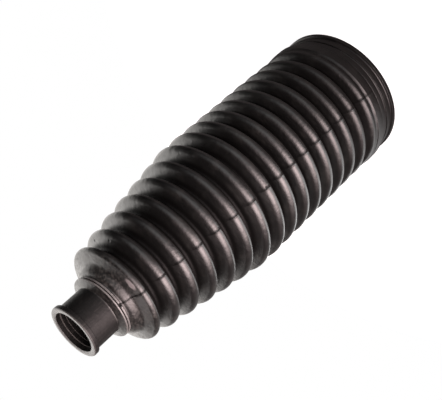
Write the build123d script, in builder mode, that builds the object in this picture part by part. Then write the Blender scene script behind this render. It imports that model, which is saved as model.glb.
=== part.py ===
from build123d import *
import os
from math import asin, atan2, cos, degrees, hypot, radians, sin, tan
from typing import NamedTuple

# A moulded rubber bellows boot, one piece, round about the Z axis.
# It stands on the rim of its large end, and Z is the height above that rim.
# The mould parts in the YZ plane. Lengths are in millimetres, radii from the axis.

# Wall and folds: nine folds of full size, then seven that taper towards the neck
wall = 1.3
fold_depth = 5.5
crest_inside_rounding = 1.0
root_rounding = 1.1
full_folds = 9
full_pitch = 8.25
tapered_folds = 7
tapered_pitch = 9.0
taper_lead = 0.8
first_crest_radius = 21.4
first_crest_inside_rounding = 0.3

# Large end: bore, clamp seat with round grooves, rim lip, raised band and a fine groove over it
rim_bore_radius = 27.5
rim_bore_chamfer = 0.8
seat_wall = 2.6
seat_grooves = 3
seat_groove_pitch = 3.5
seat_groove_width = 0.8
seat_groove_depth = 0.6
seat_last_land = 0.5
rim_lip_length = 2.0
rim_lip_height = 0.6
rim_lip_rounding = 0.5
band_length = 3.9
band_height = 1.2
band_rounding = 0.3
band_groove_length = 0.82
crest_over_seat = 0.9
last_fold_angle = 40.0

# Small end: neck with a mouth lip, double collar and the shoulder that swells into the first fold
neck_bore_radius = 9.0
neck_length = 10.9
neck_fillet = 0.3
mouth_chamfer = 0.3
mouth_lip_length = 2.1
mouth_lip_height = 1.05
mouth_lip_rounding = 0.6
mouth_lip_back_rounding = 0.3
sealing_land_depth = 2.3
sealing_land_length = 4.0
sealing_land_height = 0.5
collar_height = 3.3
collar_face_length = 1.1
collar_face_rounding = 0.35
collar_edge_length = 0.6
collar_rounding = 0.2
collar_groove_length = 0.4
collar_groove_depth = 0.8
collar_lip_length = 0.8
collar_notch_width = 1.2
shoulder_undercut = 0.9
shoulder_length = 6.6
belly_reach = 2.0
belly_drop = 1.1
belly_inside_rounding = 1.2
waist_reach = 1.4
waist_drop = 2.7
waist_rounding = 2.5

# Radii that follow from the sizes above
seat_radius = rim_bore_radius + seat_wall
seat_groove_floor = seat_radius - seat_groove_depth
crest_radius = seat_radius + crest_over_seat
crest_rounding = crest_inside_rounding + wall
first_crest_rounding = first_crest_inside_rounding + wall
taper_step = (crest_radius - first_crest_radius) / (tapered_folds - taper_lead)
neck_radius = neck_bore_radius + wall
mouth_lip_radius = neck_radius + mouth_lip_height
sealing_land_radius = neck_bore_radius - sealing_land_height
collar_radius = neck_radius + collar_height
collar_groove_floor = collar_radius - collar_groove_depth
shoulder_root_radius = collar_radius - shoulder_undercut

# Heights that follow, from the rim up
band_foot_height = rim_lip_length + (seat_grooves - 1) * seat_groove_pitch + seat_groove_width + seat_last_land
band_top_height = band_foot_height + band_length
last_fold_foot_height = band_top_height + band_groove_length
last_crest_height = last_fold_foot_height + crest_rounding * sin(radians(last_fold_angle))
top_full_crest_height = last_crest_height + (full_folds - 1) * full_pitch
first_crest_height = top_full_crest_height + tapered_folds * tapered_pitch
shoulder_root_height = first_crest_height + shoulder_length
collar_lip_height = shoulder_root_height + collar_lip_length
collar_flange_height = collar_lip_height + collar_groove_length
collar_face_height = collar_flange_height + collar_edge_length
neck_foot_height = collar_face_height + collar_face_length
neck_top_height = neck_foot_height + neck_length
boot_height = neck_top_height + mouth_lip_length


class Turn(NamedTuple):
    """A round turn of the wall, by its centre. side is 1 where it bulges outwards, -1 where it dips in."""

    radius: float
    height: float
    rounding: float
    side: int


class Corner(NamedTuple):
    """A corner of the section, with the radius that rounds it."""

    radius: float
    height: float
    rounding: float = 0.0


def flank_angle(lower, upper):
    """Angle from the axis of the straight flank that touches two neighbouring turns."""
    rise = upper.height - lower.height
    spread = upper.radius - lower.radius
    lean = asin((lower.rounding + upper.rounding) / hypot(rise, spread))
    return atan2(spread, rise) - lower.side * lean


def touch(turn, angle):
    """Point where a flank at the given angle touches a turn."""
    reach = turn.side * turn.rounding
    return Corner(turn.radius + reach * cos(angle), turn.height - reach * sin(angle))


def inset(corner, angle_below, angle_above, rounding):
    """Corner on the inside of the wall, behind the corner on its outside."""
    reach = wall / cos((angle_below - angle_above) / 2)
    behind = touch(Turn(corner.radius, corner.height, reach, -1), (angle_below + angle_above) / 2)
    return behind._replace(rounding=rounding)


def meet_bore(point, angle, bore_radius):
    """Corner where a flank through a point meets a bore."""
    return Corner(bore_radius, point.height + (bore_radius - point.radius) / tan(angle))


def fold_turns():
    """Crests and roots of the folds, from the large end up."""
    crests = []
    for fold in range(full_folds):
        height = last_crest_height + fold * full_pitch
        crests.append(Turn(crest_radius - crest_rounding, height, crest_rounding, 1))
    for fold in range(1, tapered_folds + 1):
        radius = crest_radius - taper_step * (fold - taper_lead)
        height = top_full_crest_height + fold * tapered_pitch
        rounding = first_crest_rounding if fold == tapered_folds else crest_rounding
        crests.append(Turn(radius - rounding, height, rounding, 1))
    turns = [crests[0]]
    for lower, upper in zip(crests, crests[1:]):
        crest_level = (touch(lower, 0).radius + touch(upper, 0).radius) / 2
        root_level = crest_level - fold_depth
        root = Turn(root_level + root_rounding, (lower.height + upper.height) / 2, root_rounding, -1)
        turns += [root, upper]
    return turns


def rim_corners(inner_start, outer_end):
    """Section of the large end, from its bore round the rim to the foot of the last fold."""
    corners = [
        inner_start,
        meet_bore(inner_start, radians(last_fold_angle), rim_bore_radius),
        Corner(rim_bore_radius, rim_bore_chamfer),
        Corner(rim_bore_radius + rim_bore_chamfer, 0),
        Corner(seat_radius + rim_lip_height, 0, rim_lip_rounding),
        Corner(seat_radius + rim_lip_height, rim_lip_length),
    ]
    for groove in range(seat_grooves):
        groove_foot = rim_lip_length + groove * seat_groove_pitch
        groove_top = groove_foot + seat_groove_width
        if groove > 0:
            corners.append(Corner(seat_radius, groove_foot))
        corners += [Corner(seat_groove_floor, groove_foot), Corner(seat_groove_floor, groove_top)]
        corners.append(Corner(seat_radius, groove_top))
    band_radius = seat_radius + band_height
    corners += [
        Corner(band_radius, band_foot_height, band_rounding),
        Corner(band_radius, band_top_height, band_rounding),
        outer_end,
    ]
    return corners


def shoulder_corners():
    """Waist over the first fold, belly above it and the root under the collar."""
    root = Corner(shoulder_root_radius, shoulder_root_height)
    belly = Corner(root.radius + belly_reach, root.height - belly_drop, belly_inside_rounding + wall)
    waist = Corner(belly.radius + waist_reach, belly.height - waist_drop, waist_rounding)
    return [waist, belly, root]


def collar_corners():
    """Collar: a thin lip, a round groove and a flange with a sloping face."""
    return [
        Corner(collar_radius, shoulder_root_height, collar_rounding),
        Corner(collar_radius, collar_lip_height, collar_rounding),
        Corner(collar_groove_floor, collar_lip_height),
        Corner(collar_groove_floor, collar_flange_height),
        Corner(collar_radius, collar_flange_height, collar_rounding),
        Corner(collar_radius, collar_face_height, collar_face_rounding),
        Corner(neck_radius, neck_foot_height, neck_fillet),
    ]


def mouth_corners():
    """Mouth lip, its face, the short lead-in and the sealing land of the neck bore."""
    land_top = boot_height - sealing_land_depth
    land_foot = land_top - sealing_land_length
    return [
        Corner(neck_radius, neck_top_height, neck_fillet),
        Corner(mouth_lip_radius, neck_top_height, mouth_lip_back_rounding),
        Corner(mouth_lip_radius, boot_height, mouth_lip_rounding),
        Corner(neck_bore_radius + mouth_chamfer, boot_height),
        Corner(neck_bore_radius, boot_height - mouth_chamfer),
        Corner(neck_bore_radius, land_top),
        Corner(sealing_land_radius, land_top),
        Corner(sealing_land_radius, land_foot),
        Corner(neck_bore_radius, land_foot),
    ]


def inner_shoulder_corners(shoulder, angles):
    """Inside of the shoulder, one wall behind its outside, from the neck bore down."""
    waist, belly, _ = shoulder
    waist_below, waist_above, belly_above = angles
    inner_belly = inset(belly, waist_above, belly_above, belly_inside_rounding)
    inner_waist = inset(waist, waist_below, waist_above, waist_rounding + wall)
    return [meet_bore(inner_belly, belly_above, neck_bore_radius), inner_belly, inner_waist]


def draw_end(corners):
    """Open outline of one end of the section, with its corners rounded."""
    FilletPolyline(
        [(corner.radius, corner.height) for corner in corners],
        radius=[corner.rounding for corner in corners[1:-1]],
    )


def draw_folds(turns, angles):
    """Arcs round the turns of one face of the wall, and the straight flanks between them."""
    for turn, below, above in zip(turns, angles, angles[1:]):
        start = -degrees(below) if turn.side > 0 else 180 - degrees(below)
        CenterArc((turn.radius, turn.height), turn.rounding, start, degrees(below - above))
    for lower, upper, angle in zip(turns, turns[1:], angles[1:]):
        Line(touch(lower, angle)[:2], touch(upper, angle)[:2])


# The folded wall: its turns outside and inside, and the flank angles that both faces share
outer_turns = fold_turns()
inner_turns = [turn._replace(rounding=turn.rounding - turn.side * wall) for turn in outer_turns]
shoulder = shoulder_corners()
shoulder_chain = [outer_turns[-1], *(Turn(corner.radius, corner.height, 0, -1) for corner in shoulder)]
shoulder_angles = [flank_angle(lower, upper) for lower, upper in zip(shoulder_chain, shoulder_chain[1:])]
fold_angles = [flank_angle(lower, upper) for lower, upper in zip(outer_turns, outer_turns[1:])]
wall_angles = [radians(last_fold_angle), *fold_angles, shoulder_angles[0]]

rim_outline = rim_corners(touch(inner_turns[0], wall_angles[0]), touch(outer_turns[0], wall_angles[0]))
neck_outline = [
    touch(outer_turns[-1], wall_angles[-1]),
    *shoulder,
    *collar_corners(),
    *mouth_corners(),
    *inner_shoulder_corners(shoulder, shoulder_angles),
    touch(inner_turns[-1], wall_angles[-1]),
]

with BuildPart() as bellows_boot:
    with BuildSketch(Plane.XZ) as section:
        with BuildLine():
            draw_end(rim_outline)
            draw_folds(outer_turns, wall_angles)
            draw_end(neck_outline)
            draw_folds(inner_turns, wall_angles)
        make_face()
    revolve(axis=Axis.Z)
    # Notch in the collar's thin lip, where the mould's halves meet at the front
    with BuildSketch(Plane.XY.offset(shoulder_root_height)):
        with Locations((0, -collar_radius)):
            Rectangle(collar_notch_width, 2 * collar_groove_depth)
    extrude(amount=collar_lip_length, mode=Mode.SUBTRACT)
bellows_boot.part.label = "bellows_boot"

os.makedirs("parts", exist_ok=True)
export_step(bellows_boot.part, "parts/bellows_boot.step")
print("boot height", round(boot_height, 2), "mm, volume", round(bellows_boot.part.volume / 1000, 1), "cm3")
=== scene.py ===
from math import asin, atan2, ceil, cos, hypot, pi, radians, sin, tan
from typing import NamedTuple

import bmesh
import bpy
from mathutils import Matrix, Vector, noise


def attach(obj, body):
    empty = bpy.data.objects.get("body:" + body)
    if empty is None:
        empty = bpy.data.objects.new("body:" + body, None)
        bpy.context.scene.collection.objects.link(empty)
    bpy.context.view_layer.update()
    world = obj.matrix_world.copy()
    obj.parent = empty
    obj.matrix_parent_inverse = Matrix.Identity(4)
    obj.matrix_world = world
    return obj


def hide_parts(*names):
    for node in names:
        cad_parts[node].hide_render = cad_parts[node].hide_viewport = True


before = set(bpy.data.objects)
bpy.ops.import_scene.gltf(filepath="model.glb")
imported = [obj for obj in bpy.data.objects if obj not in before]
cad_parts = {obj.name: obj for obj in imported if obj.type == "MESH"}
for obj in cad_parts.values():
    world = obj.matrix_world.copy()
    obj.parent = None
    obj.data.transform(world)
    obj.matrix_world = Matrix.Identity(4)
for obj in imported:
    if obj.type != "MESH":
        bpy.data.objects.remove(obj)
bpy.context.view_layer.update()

# A moulded rubber bellows boot, standing on the rim of its large end.
# The mould's halves meet in the YZ plane, and the camera looks at the -Y side, from above.

MM = 0.001

# Wall and folds
WALL = 1.3 * MM
FOLD_DEPTH = 5.5 * MM
CREST_INSIDE_ROUNDING = 1.0 * MM
ROOT_ROUNDING = 1.1 * MM
FULL_FOLDS = 9
FULL_PITCH = 8.25 * MM
TAPERED_FOLDS = 7
TAPERED_PITCH = 9.0 * MM
TAPER_LEAD = 0.8
FIRST_CREST_RADIUS = 21.4 * MM
FIRST_CREST_INSIDE_ROUNDING = 0.3 * MM

# Large end
RIM_BORE_RADIUS = 27.5 * MM
RIM_BORE_CHAMFER = 0.8 * MM
SEAT_WALL = 2.6 * MM
SEAT_GROOVES = 3
SEAT_GROOVE_PITCH = 3.5 * MM
SEAT_GROOVE_WIDTH = 0.8 * MM
SEAT_GROOVE_DEPTH = 0.6 * MM
SEAT_GROOVE_EDGE = 0.12 * MM
SEAT_LAST_LAND = 0.5 * MM
RIM_LIP_LENGTH = 2.0 * MM
RIM_LIP_HEIGHT = 0.6 * MM
RIM_LIP_ROUNDING = 0.5 * MM
BAND_LENGTH = 3.9 * MM
BAND_HEIGHT = 1.2 * MM
BAND_ROUNDING = 0.3 * MM
BAND_GROOVE_LENGTH = 0.82 * MM
CREST_OVER_SEAT = 0.9 * MM
LAST_FOLD_ANGLE = radians(40.0)

# Small end
NECK_BORE_RADIUS = 9.0 * MM
NECK_LENGTH = 10.9 * MM
NECK_FILLET = 0.3 * MM
MOUTH_EDGE_WIDTH = 0.95 * MM
MOUTH_EDGE_DROP = 0.22 * MM
MOUTH_EDGE_ROUNDING = 0.3 * MM
MOUTH_BORE_ROUNDING = 0.1 * MM
MOUTH_LIP_LENGTH = 2.1 * MM
MOUTH_LIP_HEIGHT = 1.05 * MM
MOUTH_LIP_ROUNDING = 0.6 * MM
MOUTH_LIP_BACK_ROUNDING = 0.3 * MM
SEALING_LAND_DEPTH = 2.3 * MM
SEALING_LAND_LENGTH = 4.0 * MM
SEALING_LAND_HEIGHT = 0.5 * MM
SEALING_LAND_EDGE = 0.1 * MM
COLLAR_HEIGHT = 3.3 * MM
COLLAR_FACE_LENGTH = 1.1 * MM
COLLAR_FACE_ROUNDING = 0.35 * MM
COLLAR_EDGE_LENGTH = 0.6 * MM
COLLAR_ROUNDING = 0.2 * MM
COLLAR_GROOVE_LENGTH = 0.4 * MM
COLLAR_GROOVE_DEPTH = 0.8 * MM
COLLAR_LIP_LENGTH = 0.8 * MM
COLLAR_NOTCH_WIDTH = 1.2 * MM
SHOULDER_UNDERCUT = 0.9 * MM
SHOULDER_LENGTH = 6.6 * MM
BELLY_REACH = 2.0 * MM
BELLY_DROP = 1.1 * MM
BELLY_INSIDE_ROUNDING = 1.2 * MM
WAIST_REACH = 1.4 * MM
WAIST_DROP = 2.7 * MM
WAIST_ROUNDING = 2.5 * MM

# Mesh
STEPS_ROUND = 144
OUTER_ARC_STEP = radians(15.0)
INNER_ARC_STEP = radians(36.0)
MERGE_DISTANCE = 0.001 * MM

# Flash where the mould's halves meet, and the unevenness of soft rubber
FLASH_HALF_WIDTH = 0.13 * MM
FLASH_HEIGHT = 0.12 * MM
FLASH_ON_BAND = 0.8
FLASH_UNDER_COLLAR = 0.8
FLASH_ON_COLLAR = 0.4
FLASH_ON_NECK = 0.2
NOTCH_SLOPE = 0.1 * MM
UNEVEN_HEIGHT = 0.16 * MM
UNEVEN_LENGTH = 17.0 * MM

# Radii that follow
SEAT_RADIUS = RIM_BORE_RADIUS + SEAT_WALL
SEAT_GROOVE_FLOOR = SEAT_RADIUS - SEAT_GROOVE_DEPTH
CREST_RADIUS = SEAT_RADIUS + CREST_OVER_SEAT
CREST_ROUNDING = CREST_INSIDE_ROUNDING + WALL
FIRST_CREST_ROUNDING = FIRST_CREST_INSIDE_ROUNDING + WALL
TAPER_STEP = (CREST_RADIUS - FIRST_CREST_RADIUS) / (TAPERED_FOLDS - TAPER_LEAD)
NECK_RADIUS = NECK_BORE_RADIUS + WALL
MOUTH_LIP_RADIUS = NECK_RADIUS + MOUTH_LIP_HEIGHT
SEALING_LAND_RADIUS = NECK_BORE_RADIUS - SEALING_LAND_HEIGHT
COLLAR_RADIUS = NECK_RADIUS + COLLAR_HEIGHT
COLLAR_GROOVE_FLOOR = COLLAR_RADIUS - COLLAR_GROOVE_DEPTH
SHOULDER_ROOT_RADIUS = COLLAR_RADIUS - SHOULDER_UNDERCUT

# Heights that follow, from the rim up
LAST_GROOVE_TOP = RIM_LIP_LENGTH + (SEAT_GROOVES - 1) * SEAT_GROOVE_PITCH + SEAT_GROOVE_WIDTH
BAND_FOOT_HEIGHT = LAST_GROOVE_TOP + SEAT_LAST_LAND
BAND_TOP_HEIGHT = BAND_FOOT_HEIGHT + BAND_LENGTH
LAST_FOLD_FOOT_HEIGHT = BAND_TOP_HEIGHT + BAND_GROOVE_LENGTH
LAST_CREST_HEIGHT = LAST_FOLD_FOOT_HEIGHT + CREST_ROUNDING * sin(LAST_FOLD_ANGLE)
TOP_FULL_CREST_HEIGHT = LAST_CREST_HEIGHT + (FULL_FOLDS - 1) * FULL_PITCH
FIRST_CREST_HEIGHT = TOP_FULL_CREST_HEIGHT + TAPERED_FOLDS * TAPERED_PITCH
SHOULDER_ROOT_HEIGHT = FIRST_CREST_HEIGHT + SHOULDER_LENGTH
COLLAR_LIP_TOP = SHOULDER_ROOT_HEIGHT + COLLAR_LIP_LENGTH
COLLAR_FLANGE_FOOT = COLLAR_LIP_TOP + COLLAR_GROOVE_LENGTH
COLLAR_FACE_FOOT = COLLAR_FLANGE_FOOT + COLLAR_EDGE_LENGTH
NECK_FOOT_HEIGHT = COLLAR_FACE_FOOT + COLLAR_FACE_LENGTH
NECK_TOP_HEIGHT = NECK_FOOT_HEIGHT + NECK_LENGTH
BOOT_HEIGHT = NECK_TOP_HEIGHT + MOUTH_LIP_LENGTH


class Turn(NamedTuple):
    """A round turn of the wall, by its centre. side is 1 for a crest and -1 for a root."""

    radius: float
    height: float
    rounding: float
    side: int


class Corner(NamedTuple):
    """A corner of the section, with the radius that rounds it.

    flash is how strong the mould's flash is on it, and groove is 1 at the bottom of a groove, where
    the rubber is darkened with painted shade.
    """

    radius: float
    height: float
    rounding: float = 0.0
    flash: float = 0.0
    groove: float = 0.0


def flank_angle(lower, upper):
    """Angle from the axis of the straight flank that touches two neighbouring turns."""
    rise = upper.height - lower.height
    spread = upper.radius - lower.radius
    lean = asin((lower.rounding + upper.rounding) / hypot(rise, spread))
    return atan2(spread, rise) - lower.side * lean


def touch(turn, angle):
    """Point where a flank at the given angle touches a turn."""
    reach = turn.side * turn.rounding
    return Corner(turn.radius + reach * cos(angle), turn.height - reach * sin(angle))


def inset(corner, angle_below, angle_above, rounding):
    """Corner on the inside of the wall, behind the corner on its outside."""
    reach = WALL / cos((angle_below - angle_above) / 2)
    behind = touch(Turn(corner.radius, corner.height, reach, -1), (angle_below + angle_above) / 2)
    return behind._replace(rounding=rounding)


def meet_bore(point, angle, bore_radius):
    """Corner where a flank through a point meets a bore."""
    return Corner(bore_radius, point.height + (bore_radius - point.radius) / tan(angle))


def fold_turns():
    """Crests and roots of the folds, from the large end up."""
    crests = []
    for fold in range(FULL_FOLDS):
        height = LAST_CREST_HEIGHT + fold * FULL_PITCH
        crests.append(Turn(CREST_RADIUS - CREST_ROUNDING, height, CREST_ROUNDING, 1))
    for fold in range(1, TAPERED_FOLDS + 1):
        radius = CREST_RADIUS - TAPER_STEP * (fold - TAPER_LEAD)
        height = TOP_FULL_CREST_HEIGHT + fold * TAPERED_PITCH
        rounding = FIRST_CREST_ROUNDING if fold == TAPERED_FOLDS else CREST_ROUNDING
        crests.append(Turn(radius - rounding, height, rounding, 1))
    turns = [crests[0]]
    for lower, upper in zip(crests, crests[1:]):
        crest_level = (touch(lower, 0).radius + touch(upper, 0).radius) / 2
        root_level = crest_level - FOLD_DEPTH
        middle = (lower.height + upper.height) / 2
        root = Turn(root_level + ROOT_ROUNDING, middle, ROOT_ROUNDING, -1)
        turns += [root, upper]
    return turns


def rim_corners(inner_start, outer_end):
    """Section of the large end, from its bore round the rim to the foot of the last fold."""
    corners = [
        inner_start,
        meet_bore(inner_start, LAST_FOLD_ANGLE, RIM_BORE_RADIUS),
        Corner(RIM_BORE_RADIUS, RIM_BORE_CHAMFER),
        Corner(RIM_BORE_RADIUS + RIM_BORE_CHAMFER, 0),
        Corner(SEAT_RADIUS + RIM_LIP_HEIGHT, 0, RIM_LIP_ROUNDING),
        Corner(SEAT_RADIUS + RIM_LIP_HEIGHT, RIM_LIP_LENGTH, SEAT_GROOVE_EDGE),
    ]
    for groove in range(SEAT_GROOVES):
        foot = RIM_LIP_LENGTH + groove * SEAT_GROOVE_PITCH
        top = foot + SEAT_GROOVE_WIDTH
        if groove > 0:
            corners.append(Corner(SEAT_RADIUS, foot, SEAT_GROOVE_EDGE))
        corners += [Corner(SEAT_GROOVE_FLOOR, foot), Corner(SEAT_GROOVE_FLOOR, top)]
        corners.append(Corner(SEAT_RADIUS, top, SEAT_GROOVE_EDGE))
    band_radius = SEAT_RADIUS + BAND_HEIGHT
    corners += [
        Corner(band_radius, BAND_FOOT_HEIGHT, BAND_ROUNDING, FLASH_ON_BAND),
        Corner(band_radius, BAND_TOP_HEIGHT, BAND_ROUNDING, FLASH_ON_BAND),
        outer_end,
    ]
    return corners


def shoulder_corners():
    """Waist over the first fold, belly above it and the root under the collar."""
    # groove=1.0 puts painted shade on the root under the collar
    root = Corner(SHOULDER_ROOT_RADIUS, SHOULDER_ROOT_HEIGHT, flash=FLASH_UNDER_COLLAR, groove=1.0)
    belly_rounding = BELLY_INSIDE_ROUNDING + WALL
    belly = Corner(root.radius + BELLY_REACH, root.height - BELLY_DROP, belly_rounding, flash=1.0)
    waist = Corner(belly.radius + WAIST_REACH, belly.height - WAIST_DROP, WAIST_ROUNDING, flash=1.0)
    return [waist, belly, root]


def collar_corners():
    """Collar: a thin lip, a round groove and a flange with a sloping face."""
    return [
        Corner(COLLAR_RADIUS, SHOULDER_ROOT_HEIGHT, COLLAR_ROUNDING),
        Corner(COLLAR_RADIUS, COLLAR_LIP_TOP, COLLAR_ROUNDING),
        # groove=1.0 darkens the collar's groove with painted shade
        Corner(COLLAR_GROOVE_FLOOR, COLLAR_LIP_TOP, groove=1.0),
        Corner(COLLAR_GROOVE_FLOOR, COLLAR_FLANGE_FOOT, groove=1.0),
        Corner(COLLAR_RADIUS, COLLAR_FLANGE_FOOT, COLLAR_ROUNDING, FLASH_ON_COLLAR),
        Corner(COLLAR_RADIUS, COLLAR_FACE_FOOT, COLLAR_FACE_ROUNDING, FLASH_ON_COLLAR),
        Corner(NECK_RADIUS, NECK_FOOT_HEIGHT, NECK_FILLET, FLASH_ON_NECK),
    ]


def mouth_corners():
    """Mouth lip, its face with a sloping inner edge, and the sealing land of the neck bore."""
    land_top = BOOT_HEIGHT - SEALING_LAND_DEPTH
    land_foot = land_top - SEALING_LAND_LENGTH
    return [
        Corner(NECK_RADIUS, NECK_TOP_HEIGHT, NECK_FILLET, FLASH_ON_NECK),
        Corner(MOUTH_LIP_RADIUS, NECK_TOP_HEIGHT, MOUTH_LIP_BACK_ROUNDING, FLASH_ON_NECK),
        Corner(MOUTH_LIP_RADIUS, BOOT_HEIGHT, MOUTH_LIP_ROUNDING),
        Corner(NECK_BORE_RADIUS + MOUTH_EDGE_WIDTH, BOOT_HEIGHT, MOUTH_EDGE_ROUNDING),
        Corner(NECK_BORE_RADIUS, BOOT_HEIGHT - MOUTH_EDGE_DROP, MOUTH_BORE_ROUNDING),
        Corner(NECK_BORE_RADIUS, land_top),
        Corner(SEALING_LAND_RADIUS, land_top, SEALING_LAND_EDGE),
        Corner(SEALING_LAND_RADIUS, land_foot, SEALING_LAND_EDGE),
        Corner(NECK_BORE_RADIUS, land_foot),
    ]


def inner_shoulder_corners(shoulder, angles):
    """Inside of the shoulder, one wall behind its outside, from the neck bore down."""
    waist, belly, _ = shoulder
    waist_below, waist_above, belly_above = angles
    inner_belly = inset(belly, waist_above, belly_above, BELLY_INSIDE_ROUNDING)
    inner_waist = inset(waist, waist_below, waist_above, WAIST_ROUNDING + WALL)
    return [meet_bore(inner_belly, belly_above, NECK_BORE_RADIUS), inner_belly, inner_waist]


def fold_points(turns, angles, step, crest_flash):
    """Points along one face of the folded wall: an arc round each turn."""
    points = []
    for turn, below, above in zip(turns, angles, angles[1:]):
        on_crest = turn.side > 0
        flash = crest_flash if on_crest else 0.0
        pieces = max(2, ceil(abs(below - above) / step))
        for piece in range(pieces + 1):
            point = touch(turn, below + (above - below) * piece / pieces)
            # Roots get groove 1.0, which darkens them with painted shade
            points.append(point._replace(flash=flash, groove=0.0 if on_crest else 1.0))
    return points


def end_points(corners, step):
    """Points along one end of the section, with an arc at each rounded corner."""
    points = []
    for before, corner, after in zip(corners, corners[1:], corners[2:]):
        if corner.rounding == 0:
            points.append(corner)
            continue
        here = Vector((corner.radius, corner.height))
        back = (Vector((before.radius, before.height)) - here).normalized()
        on = (Vector((after.radius, after.height)) - here).normalized()
        half = back.angle(on) / 2
        centre = here + (back + on).normalized() * corner.rounding / sin(half)
        start = here + back * corner.rounding / tan(half) - centre
        end = here + on * corner.rounding / tan(half) - centre
        turn = -start.angle_signed(end)
        pieces = max(2, ceil(abs(turn) / step))
        for piece in range(pieces + 1):
            spoke = start.copy()
            spoke.rotate(Matrix.Rotation(turn * piece / pieces, 2))
            points.append(corner._replace(radius=centre.x + spoke.x, height=centre.y + spoke.y))
    return points


def section_points():
    """The whole section as one closed row of points, up the outside and down the inside."""
    outer = fold_turns()
    inner = [turn._replace(rounding=turn.rounding - turn.side * WALL) for turn in outer]
    shoulder = shoulder_corners()
    chain = [outer[-1], *(Turn(corner.radius, corner.height, 0, -1) for corner in shoulder)]
    shoulder_angles = [flank_angle(lower, upper) for lower, upper in zip(chain, chain[1:])]
    fold_angles = [flank_angle(lower, upper) for lower, upper in zip(outer, outer[1:])]
    angles = [LAST_FOLD_ANGLE, *fold_angles, shoulder_angles[0]]
    rim = rim_corners(touch(inner[0], angles[0]), touch(outer[0], angles[0]))
    neck = [
        touch(outer[-1], angles[-1]),
        *shoulder,
        *collar_corners(),
        *mouth_corners(),
        *inner_shoulder_corners(shoulder, shoulder_angles),
        touch(inner[-1], angles[-1]),
    ]
    return [
        *end_points(rim, INNER_ARC_STEP),
        *fold_points(outer, angles, OUTER_ARC_STEP, 1.0),
        *end_points(neck, OUTER_ARC_STEP),
        *reversed(fold_points(inner, angles, INNER_ARC_STEP, 0.0)),
    ]


def spin_section(mesh, flash, groove):
    """Spins the section round Z, from the parting plane at -Y."""
    verts = []
    for point in section_points():
        vert = mesh.verts.new((0, -point.radius, point.height))
        vert[flash] = point.flash
        vert[groove] = point.groove
        verts.append(vert)
    edges = [mesh.edges.new(pair) for pair in zip(verts, verts[1:] + verts[:1])]
    bmesh.ops.spin(
        mesh,
        geom=verts + edges,
        cent=(0, 0, 0),
        axis=(0, 0, 1),
        angle=2 * pi,
        steps=STEPS_ROUND,
        use_merge=True,
        use_duplicate=False,
    )
    bmesh.ops.remove_doubles(mesh, verts=mesh.verts, dist=MERGE_DISTANCE)
    bmesh.ops.recalc_face_normals(mesh, faces=mesh.faces)


def cut_beside_parting(mesh, faces, offset):
    """Cuts the given faces by a plane beside the parting plane."""
    edges = {edge for face in faces for edge in face.edges}
    verts = {vert for face in faces for vert in face.verts}
    bmesh.ops.bisect_plane(
        mesh,
        geom=[*faces, *edges, *verts],
        dist=MERGE_DISTANCE,
        plane_co=(offset, 0, 0),
        plane_no=(1, 0, 0),
    )


def notch_collar(mesh, groove):
    """Cuts the notch in the collar's thin lip down to the floor of its groove, at the front."""
    half = COLLAR_NOTCH_WIDTH / 2
    for offset in (-half - NOTCH_SLOPE, -half, half, half + NOTCH_SLOPE):
        lip = [face for face in mesh.faces if on_collar_lip(face.calc_center_median())]
        cut_beside_parting(mesh, lip, offset)
    for vert in mesh.verts:
        if on_collar_lip(vert.co) and abs(vert.co.x) < half + MERGE_DISTANCE:
            scale = COLLAR_GROOVE_FLOOR / hypot(vert.co.x, vert.co.y)
            vert.co.x *= scale
            vert.co.y *= scale
            # groove 1.0 darkens the notch with painted shade
            vert[groove] = 1.0


def on_collar_lip(place):
    """Says whether a place is on the collar's thin lip, near its front."""
    lip_middle = (SHOULDER_ROOT_HEIGHT + COLLAR_LIP_TOP) / 2
    inside_lip = abs(place.z - lip_middle) < COLLAR_LIP_LENGTH / 2 + MERGE_DISTANCE
    near_front = place.y < 0 and abs(place.x) < 2 * COLLAR_NOTCH_WIDTH
    outside_floor = hypot(place.x, place.y) > COLLAR_GROOVE_FLOOR + MERGE_DISTANCE
    return inside_lip and near_front and outside_floor


def raise_flash(mesh, flash):
    """Raises a fine ridge over the crests where the mould's halves meet, front and back."""
    column = 2 * pi / STEPS_ROUND * CREST_RADIUS
    for offset in (-FLASH_HALF_WIDTH, FLASH_HALF_WIDTH):
        near = [face for face in mesh.faces if abs(face.calc_center_median().x) < column]
        beside = [face for face in near if any(vert[flash] > 0 for vert in face.verts)]
        cut_beside_parting(mesh, beside, offset)
    mesh.normal_update()
    for vert in mesh.verts:
        if abs(vert.co.x) > MERGE_DISTANCE:
            vert[flash] = 0.0
        vert.co += vert.normal * FLASH_HEIGHT * vert[flash]


def make_uneven(mesh):
    """Moves the folded wall gently in and out, as soft rubber that has cooled out of its mould."""
    for vert in mesh.verts:
        from_ends = min(vert.co.z - BAND_TOP_HEIGHT, SHOULDER_ROOT_HEIGHT - vert.co.z)
        share = min(max(from_ends / FULL_PITCH, 0.0), 1.0)
        wave = noise.noise(vert.co / UNEVEN_LENGTH)
        outwards = Vector((vert.co.x, vert.co.y, 0)).normalized()
        vert.co += outwards * wave * share * UNEVEN_HEIGHT


def boot_piece():
    """The moulded boot as one closed mesh."""
    mesh = bmesh.new()
    flash = mesh.verts.layers.float.new("flash")
    groove = mesh.verts.layers.float.new("groove")
    spin_section(mesh, flash, groove)
    notch_collar(mesh, groove)
    raise_flash(mesh, flash)
    make_uneven(mesh)
    for face in mesh.faces:
        face.smooth = True
    data = bpy.data.meshes.new("moulded_boot")
    mesh.to_mesh(data)
    mesh.free()
    piece = bpy.data.objects.new("moulded_boot", data)
    bpy.context.collection.objects.link(piece)
    return piece


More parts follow.
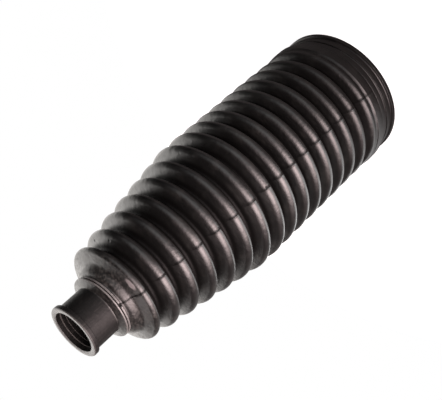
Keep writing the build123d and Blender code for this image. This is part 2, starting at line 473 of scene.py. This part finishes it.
class Value:
    """A socket's value, which Python's operators turn into Math nodes."""

    def __init__(self, tree, socket):
        self.tree = tree
        self.socket = socket

    def math(self, operation, *values):
        """Adds a Math node that works on the given values."""
        node = self.tree.nodes.new("ShaderNodeMath")
        node.operation = operation
        for socket, value in zip(node.inputs, values):
            if isinstance(value, Value):
                self.tree.links.new(value.socket, socket)
            else:
                socket.default_value = value
        return Value(self.tree, node.outputs["Value"])

    def __add__(self, other):
        return self.math("ADD", self, other)

    def __radd__(self, other):
        return self.math("ADD", other, self)

    def __sub__(self, other):
        return self.math("SUBTRACT", self, other)

    def __rsub__(self, other):
        return self.math("SUBTRACT", other, self)

    def __mul__(self, other):
        return self.math("MULTIPLY", self, other)

    def __pow__(self, other):
        return self.math("POWER", self, other)

    def __abs__(self):
        return self.math("ABSOLUTE", self)

    def at_least(self, other):
        return self.math("MAXIMUM", self, other)

    def root(self):
        return self.math("SQRT", self)


class Shading:
    """The node tree of a material or of the world."""

    def __init__(self, owner):
        owner.use_nodes = True
        self.tree = owner.node_tree

    def node(self, kind, settings=None, **values):
        """Adds a node. Its settings come first, then the values or links of its sockets."""
        node = self.tree.nodes.new(kind)
        for name, setting in (settings or {}).items():
            setattr(node, name, setting)
        for name, value in values.items():
            self.feed(node.inputs[name.replace("_", " ")], value)
        return node

    def feed(self, socket, value):
        """Gives a socket a link or a plain value."""
        if isinstance(value, Value):
            self.tree.links.new(value.socket, socket)
        elif isinstance(value, bpy.types.NodeSocket):
            self.tree.links.new(value, socket)
        else:
            socket.default_value = value

    def value(self, socket):
        """Wraps a socket for expressions."""
        return Value(self.tree, socket)

    def ramp(self, value, fade):
        """Rises smoothly from 0 to 1 as a value goes from a fade's first number to its second."""
        node = self.node("ShaderNodeMapRange", {"interpolation_type": "SMOOTHSTEP"}, Value=value)
        node.inputs["From Min"].default_value, node.inputs["From Max"].default_value = fade
        return self.value(node.outputs["Result"])

    def noise(self, place, length, detail, roughness=0.55):
        """Noise of about the given length, from 0 to 1."""
        settings = {"noise_dimensions": "3D"}
        node = self.node("ShaderNodeTexNoise", settings, Vector=place, Scale=1 / length)
        node.inputs["Detail"].default_value = detail
        node.inputs["Roughness"].default_value = roughness
        return self.value(node.outputs["Fac"])

    def attribute(self, name):
        """Reads a value stored on the mesh."""
        node = self.node("ShaderNodeAttribute", {"attribute_name": name})
        return self.value(node.outputs["Fac"])

    def vector_math(self, operation, place, other):
        """Adds a Vector Math node that works on a place and a constant."""
        node = self.node("ShaderNodeVectorMath", {"operation": operation})
        self.feed(node.inputs[0], place)
        node.inputs[1].default_value = other
        return node

    def stretch(self, place, scale):
        """Scales a place along each axis."""
        return self.vector_math("MULTIPLY", place, scale).outputs["Vector"]

    def shift(self, place, offset):
        """Moves a place."""
        return self.vector_math("ADD", place, offset).outputs["Vector"]

    def length(self, place):
        """Distance of a place from the origin."""
        return self.value(self.vector_math("LENGTH", place, (0, 0, 0)).outputs["Value"])

    def along(self, place, direction):
        """How far a place lies along a direction."""
        return self.value(self.vector_math("DOT_PRODUCT", place, direction).outputs["Value"])

    def mix(self, share, first, second):
        """Mixes two colours."""
        node = self.node("ShaderNodeMix", {"data_type": "RGBA", "clamp_factor": True})
        self.feed(node.inputs[0], share)
        self.feed(node.inputs[6], first)
        self.feed(node.inputs[7], second)
        return node.outputs[2]


# Rubber: diffuse colours, gloss and the sizes of its marks
RUBBER_BLACK = (0.0040, 0.0038, 0.0036, 1)
RUBBER_BLOOM = (0.060, 0.056, 0.050, 1)
# Base of the dull rubber: real dullness on the parting line, pits and neck, painted shade in the
# grooves, the bore and towards the rim
SHADE_AND_DULL_BLACK = (0.0052, 0.0049, 0.0047, 1)
# Pale grey of the mouth: the cut face's own tone and a painted highlight
MOUTH_GREY_AND_HIGHLIGHT = (0.075, 0.071, 0.068, 1)
# Painted highlights on rings inside the bore
RING_HIGHLIGHT_GREY = (0.10, 0.095, 0.09, 1)
SCUFF_GREY = (0.34, 0.31, 0.31, 1)
# Painted highlight on the collar's edges
EDGE_HIGHLIGHT_GREY = (0.19, 0.185, 0.18, 1)
RUBBER_ROUGHNESS = 0.30
RUBBER_SPECULAR = 1.0
RUBBER_IOR = 1.6
# Dull rubber: the duller parting line, pits and neck, and painted shade
SHADE_AND_DULL_ROUGHNESS = 0.5
SHADE_AND_DULL_SPECULAR = 0.15
BLOTCH_LENGTH = 7.0 * MM
RIPPLE_LENGTH = 2.4 * MM
GRAIN_LENGTH = 0.9 * MM
SCRATCH_LENGTH = 0.35 * MM
STREAK_STRETCH = (1, 1, 0.06)
SCUFF_PLACE = Vector((4.85, -19.2, 147.2)) * MM
SCUFF_SIZE = Vector((3.4, 3.0, 0.55)) * MM
PIT_PLACES = (
    Vector((20.3, 2.7, 139.0)) * MM,
    Vector((19.2, -7.6, 138.9)) * MM,
    Vector((1.0, -30.9, 83.2)) * MM,
)
PIT_RADIUS = 0.45 * MM
# Depths of the painted highlight rings in the bore
BORE_RING_SPACING = 1.9 * MM
BORE_RING_DEPTHS = (SEALING_LAND_DEPTH, SEALING_LAND_DEPTH + BORE_RING_SPACING)

# Rubber: the values between which each mark goes from nothing to full
BLOTCH_FADE = (0.46, 0.72)
GRAIN_FADE = (0.46, 0.64)
SCRATCH_FADE = (0.58, 0.72)
SCUFF_FADE = (1.2, 0.75)
PARTING_FADE = (0.2, 0.7)
# Painted shade at the bottom of the grooves
GROOVE_SHADE_FADE = (0.35, 0.9)
NECK_FADE = (NECK_FOOT_HEIGHT, NECK_FOOT_HEIGHT + 0.6 * MM)
SHOULDER_FADE = (FIRST_CREST_HEIGHT - 1 * MM, FIRST_CREST_HEIGHT + 2 * MM)
# Painted shade, from this height down to the rim
RIM_SHADE_FADE = (80 * MM, 15 * MM)
MOUTH_FACE_FADE = (BOOT_HEIGHT - 0.6 * MM, BOOT_HEIGHT - 0.1 * MM)
UNDER_MOUTH_FADE = (BOOT_HEIGHT - 0.25 * MM, BOOT_HEIGHT - 0.5 * MM)
BORE_FADE = (NECK_BORE_RADIUS + 0.12 * MM, NECK_BORE_RADIUS)
COLLAR_EDGE_FADE = (COLLAR_RADIUS - 0.4 * MM, COLLAR_RADIUS - 0.05 * MM)
COLLAR_FOOT_FADE = (SHOULDER_ROOT_HEIGHT - 0.02 * MM, SHOULDER_ROOT_HEIGHT + 0.02 * MM)
RING_HIGHLIGHT_FADE = (0.16 * MM, 0.06 * MM)
PIT_FADE = (PIT_RADIUS * 1.5, PIT_RADIUS * 0.7)

# Rubber: how strong each mark is
BLOTCH_BLOOM = 0.18
SHOULDER_BLOOM = 0.5
SCRATCH_BLOOM = 0.6
DULL_SCRATCH_BLOOM = 0.5
EDGE_HIGHLIGHT_SHARE = 0.3
SCUFF_SHARE = 0.8
SCUFF_WAVER = 0.6
BLOOM_ROUGHNESS = 0.25
GRAIN_ROUGHNESS = 0.08
NECK_ROUGHNESS = 0.2
BORE_ROUGHNESS = 0.4
BLOTCH_RELIEF = 0.9
RIPPLE_RELIEF = 0.7
GRAIN_RELIEF = 0.35
PIT_RELIEF = 0.8
BUMP_STRENGTH = 0.5
BUMP_DISTANCE = 0.35 * MM
# Share of painted shade at the rim
RIM_SHADE_SHARE = 0.46
PIT_DULLNESS = 0.8
# Share of painted shade inside the bore
BORE_SHADE_SHARE = 0.95
NECK_DULLNESS = 0.75


def rubber_material():
    """Semi-gloss black rubber, duller on the parting line and on the neck, with painted shade and
    painted highlights.
    """
    material = bpy.data.materials.new("moulded_black_rubber")
    shading = Shading(material)
    place = shading.node("ShaderNodeTexCoord").outputs["Object"]
    axes = shading.node("ShaderNodeSeparateXYZ", Vector=place)
    x, y, z = (shading.value(axes.outputs[name]) for name in "XYZ")
    radius = (x * x + y * y).root()

    blotches = shading.noise(place, BLOTCH_LENGTH, detail=4.0, roughness=0.6)
    ripples = shading.noise(place, RIPPLE_LENGTH, detail=2.0)
    grain = shading.noise(place, GRAIN_LENGTH, detail=3.0)
    streaks = shading.noise(shading.stretch(place, STREAK_STRETCH), SCRATCH_LENGTH, detail=2.0)
    on_neck = shading.ramp(z, NECK_FADE)
    on_shoulder = shading.ramp(z, SHOULDER_FADE) - on_neck
    blotch_bloom = shading.ramp(blotches, BLOTCH_FADE) * BLOTCH_BLOOM
    bloom = blotch_bloom + shading.ramp(grain, GRAIN_FADE) * on_shoulder * SHOULDER_BLOOM
    scratches = shading.ramp(streaks, SCRATCH_FADE) * on_neck * SCRATCH_BLOOM
    # The mouth's face and rounded edges in pale grey: partly the cut face's own grey, partly a
    # painted highlight
    mouth_face_and_highlight = shading.ramp(z, MOUTH_FACE_FADE)
    under_mouth = shading.ramp(z, UNDER_MOUTH_FADE)
    # Inside the neck's bore below the mouth, where the rubber gets painted shade
    in_bore = shading.ramp(radius, BORE_FADE) * under_mouth
    # Painted highlight: a pale line round the collar's outer edges, mottled by the grain
    collar_edge_highlight = shading.ramp(radius, COLLAR_EDGE_FADE) * shading.ramp(z, COLLAR_FOOT_FADE)
    # Painted shade: reflections fade towards the rim, as if the light were weaker at the large end
    rim_shade = shading.ramp(z, RIM_SHADE_FADE)
    # Painted highlights: two pale rings in the bore, the first at the sealing land's top
    ring_highlights = 0.0
    for depth in BORE_RING_DEPTHS:
        ring_highlights = shading.ramp(abs(z - (BOOT_HEIGHT - depth)), RING_HIGHLIGHT_FADE) + ring_highlights
    offset = shading.stretch(shading.shift(place, -SCUFF_PLACE), [1 / size for size in SCUFF_SIZE])
    scuff = shading.ramp(shading.length(offset) + ripples * SCUFF_WAVER, SCUFF_FADE)
    pits = 0.0
    for pit in PIT_PLACES:
        distance = shading.length(shading.shift(place, -pit))
        pits = shading.ramp(distance, PIT_FADE) + pits
    parting = shading.ramp(shading.attribute("flash"), PARTING_FADE)
    # Painted shade at the bottom of the grooves, the collar's groove and its notch
    groove_shade = shading.ramp(shading.attribute("groove"), GROOVE_SHADE_FADE)

    color = shading.mix(bloom + scratches, RUBBER_BLACK, RUBBER_BLOOM)
    color = shading.mix(mouth_face_and_highlight, color, MOUTH_GREY_AND_HIGHLIGHT)
    color = shading.mix(collar_edge_highlight * (EDGE_HIGHLIGHT_SHARE + grain), color, EDGE_HIGHLIGHT_GREY)
    color = shading.mix(scuff * SCUFF_SHARE, color, SCUFF_GREY)
    roughness = RUBBER_ROUGHNESS + bloom * BLOOM_ROUGHNESS + grain * GRAIN_ROUGHNESS
    roughness = roughness + (on_neck - mouth_face_and_highlight) * NECK_ROUGHNESS
    relief = blotches * BLOTCH_RELIEF + ripples * RIPPLE_RELIEF
    relief = relief + grain * GRAIN_RELIEF - pits * PIT_RELIEF
    bump = shading.node("ShaderNodeBump", Strength=BUMP_STRENGTH, Distance=BUMP_DISTANCE)
    shading.feed(bump.inputs["Height"], relief)
    shader = shading.tree.nodes["Principled BSDF"]
    shading.feed(shader.inputs["Base Color"], color)
    shading.feed(shader.inputs["Roughness"], roughness)
    shading.feed(shader.inputs["Normal"], bump.outputs["Normal"])
    shader.inputs["Specular IOR Level"].default_value = RUBBER_SPECULAR
    shader.inputs["IOR"].default_value = RUBBER_IOR

    # Dull, dark rubber: the parting line, pits and neck are duller, and it paints shade in the
    # grooves, the bore and towards the rim
    dull_and_shade = shading.node("ShaderNodeBsdfPrincipled", Normal=bump.outputs["Normal"])
    shading.feed(dull_and_shade.inputs["Roughness"], SHADE_AND_DULL_ROUGHNESS + in_bore * BORE_ROUGHNESS)
    dull_and_shade_color = shading.mix(scratches * DULL_SCRATCH_BLOOM, SHADE_AND_DULL_BLACK, RUBBER_BLOOM)
    shading.feed(dull_and_shade.inputs["Base Color"], shading.mix(ring_highlights * in_bore, dull_and_shade_color, RING_HIGHLIGHT_GREY))
    dull_and_shade.inputs["Specular IOR Level"].default_value = SHADE_AND_DULL_SPECULAR
    dull_and_shade_share = groove_shade.at_least(parting).at_least(rim_shade * RIM_SHADE_SHARE).at_least(pits * PIT_DULLNESS)
    # Painted shade in the bore
    dull_and_shade_share = dull_and_shade_share.at_least(in_bore * BORE_SHADE_SHARE)
    dull_and_shade_share = dull_and_shade_share.at_least(on_neck * (1 - mouth_face_and_highlight) * NECK_DULLNESS)
    surface = shading.node("ShaderNodeMixShader", Fac=dull_and_shade_share)
    shading.feed(surface.inputs[1], shader.outputs["BSDF"])
    shading.feed(surface.inputs[2], dull_and_shade.outputs["BSDF"])
    output = shading.tree.nodes["Material Output"]
    shading.feed(output.inputs["Surface"], surface.outputs["Shader"])
    return material


# Camera: the photograph's view, rolled so that the boot lies across the frame
VIEW_AZIMUTH = radians(17.09)
VIEW_ELEVATION = radians(31.23)
VIEW_ROLL = radians(-132.15)
VIEW_DISTANCE = 368.12 * MM
VIEW_AIM = Vector((-0.27 * MM, -0.08 * MM, 84.06 * MM))
FOCAL_PIXELS = 900.0
FRAME_PIXELS = 442.0
SENSOR_WIDTH = 36.0
CLIP_START = 0.01


def add_camera():
    """Camera on a line through the aim point, at the photograph's angle."""
    data = bpy.data.cameras.new("camera")
    data.sensor_width = SENSOR_WIDTH
    data.lens = SENSOR_WIDTH * FOCAL_PIXELS / FRAME_PIXELS
    data.clip_start = CLIP_START
    camera = bpy.data.objects.new("camera", data)
    turn = (
        Matrix.Rotation(VIEW_AZIMUTH, 4, "Z")
        @ Matrix.Rotation(pi / 2 - VIEW_ELEVATION, 4, "X")
        @ Matrix.Rotation(VIEW_ROLL, 4, "Z")
    )
    place = VIEW_AIM + turn.to_3x3() @ Vector((0, 0, VIEW_DISTANCE))
    camera.matrix_world = Matrix.Translation(place) @ turn
    bpy.context.collection.objects.link(camera)
    bpy.context.scene.camera = camera


FLOOR_RADIUS = 0.15
FLOOR_SEGMENTS = 64
FLOOR_ROUGHNESS = 0.9
FLOOR_WHITE = (0.8, 0.8, 0.8, 1)
FLOOR_GREY = (0.2, 0.2, 0.2, 1)
FLOOR_GLOW = (0.85, 0.85, 0.85, 1)
FLOOR_MIRROR_GLOW = (2.0, 2.0, 2.0, 1)
NO_GLOW = (0.0, 0.0, 0.0, 1)
FLOOR_LEFT = Vector((-0.95, -0.30, 0.0))
FLOOR_LEFT_FADE = (0.02, 0.07)
FLOOR_RIM_FADE = (RIM_BORE_RADIUS + RIM_BORE_CHAMFER, SEAT_RADIUS)


def add_floor():
    """White floor round the rim, dark inside the boot. The rubber mirrors it white on the left."""
    mesh = bmesh.new()
    bmesh.ops.create_circle(mesh, cap_ends=True, segments=FLOOR_SEGMENTS, radius=FLOOR_RADIUS)
    data = bpy.data.meshes.new("floor")
    mesh.to_mesh(data)
    mesh.free()
    floor = bpy.data.objects.new("floor", data)
    bpy.context.collection.objects.link(floor)
    material = bpy.data.materials.new("white_floor")
    shading = Shading(material)
    shader = shading.tree.nodes["Principled BSDF"]
    place = shading.node("ShaderNodeTexCoord").outputs["Object"]
    path = shading.node("ShaderNodeLightPath")
    seen = shading.value(path.outputs["Is Camera Ray"])
    mirrored = shading.value(path.outputs["Is Glossy Ray"])
    left = shading.ramp(shading.along(place, FLOOR_LEFT), FLOOR_LEFT_FADE)
    outside = shading.ramp(shading.length(place), FLOOR_RIM_FADE)
    seen_glow = shading.mix(outside, NO_GLOW, FLOOR_GLOW)
    mirrored_glow = shading.mix(mirrored * left, NO_GLOW, FLOOR_MIRROR_GLOW)
    shading.feed(shader.inputs["Base Color"], shading.mix(seen, FLOOR_GREY, FLOOR_WHITE))
    shading.feed(shader.inputs["Emission Color"], shading.mix(seen, mirrored_glow, seen_glow))
    shader.inputs["Emission Strength"].default_value = 1.0
    shader.inputs["Roughness"].default_value = FLOOR_ROUGHNESS
    shader.inputs["Specular IOR Level"].default_value = 0.0
    data.materials.append(material)


class Softbox(NamedTuple):
    """A soft patch of light in the studio, by degrees from the boot. A sharper one is smaller."""

    azimuth: float
    elevation: float
    sharpness: float
    strength: float
    color: tuple


PINK = (1.0, 0.81, 0.80, 1)
PALE_PINK = (1.0, 0.90, 0.89, 1)
WARM_WHITE = (1.0, 0.94, 0.92, 1)
WHITE = (1.0, 1.0, 1.0, 1)

# Azimuth is from -Y towards +X. A broad white side stands behind the boot
SOFTBOXES = (
    Softbox(-24, 34, 10.0, 4.4, PINK),
    Softbox(-27, 2, 12.0, 6.9, PINK),
    Softbox(-28, -30, 12.0, 2.6, PINK),
    Softbox(-8, 20, 30.0, 2.2, PINK),
    Softbox(-145, 62, 32.0, 2.1, PALE_PINK),
    Softbox(40, 5, 6.0, 0.7, WHITE),
    Softbox(-125, -25, 4.0, 0.42, WARM_WHITE),
)
WHITE_SIDE = Vector((0.0, 0.996, 0.087))
WHITE_SIDE_STRENGTH = 2.1
WHITE_SIDE_COLOR = (1.0, 0.965, 0.93, 1)
WHITE_SIDE_FADE = (0.66, 0.88)


def toward(azimuth, elevation):
    """Direction from the boot, by azimuth and elevation in degrees."""
    around, up = radians(azimuth), radians(elevation)
    return Vector((sin(around) * cos(up), -cos(around) * cos(up), sin(up)))


def add_world():
    """White to the camera. As a light, a white side behind the boot and soft boxes round it."""
    world = bpy.data.worlds.new("studio")
    bpy.context.scene.world = world
    shading = Shading(world)
    tree = shading.tree
    direction = shading.node("ShaderNodeTexCoord").outputs["Generated"]

    def background(strength, color):
        node = shading.node("ShaderNodeBackground", Strength=strength, Color=color)
        return node.outputs["Background"]

    def both(first, second):
        node = shading.node("ShaderNodeAddShader")
        tree.links.new(first, node.inputs[0])
        tree.links.new(second, node.inputs[1])
        return node.outputs["Shader"]

    white = shading.ramp(shading.along(direction, WHITE_SIDE), WHITE_SIDE_FADE)
    light = background(white * WHITE_SIDE_STRENGTH, WHITE_SIDE_COLOR)
    for box in SOFTBOXES:
        facing = shading.along(direction, toward(box.azimuth, box.elevation))
        patch = facing.at_least(0.0) ** box.sharpness
        light = both(light, background(patch * box.strength, box.color))
    seen = shading.node("ShaderNodeLightPath").outputs["Is Camera Ray"]
    choice = shading.node("ShaderNodeMixShader", Fac=seen)
    tree.links.new(light, choice.inputs[1])
    tree.links.new(background(1.0, WHITE), choice.inputs[2])
    tree.links.new(choice.outputs["Shader"], tree.nodes["World Output"].inputs["Surface"])


boot = boot_piece()
boot.data.materials.append(rubber_material())
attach(boot, "root")
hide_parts("bellows_boot")

add_camera()
add_floor()
add_world()

bpy.context.scene.view_settings.view_transform = "Standard"
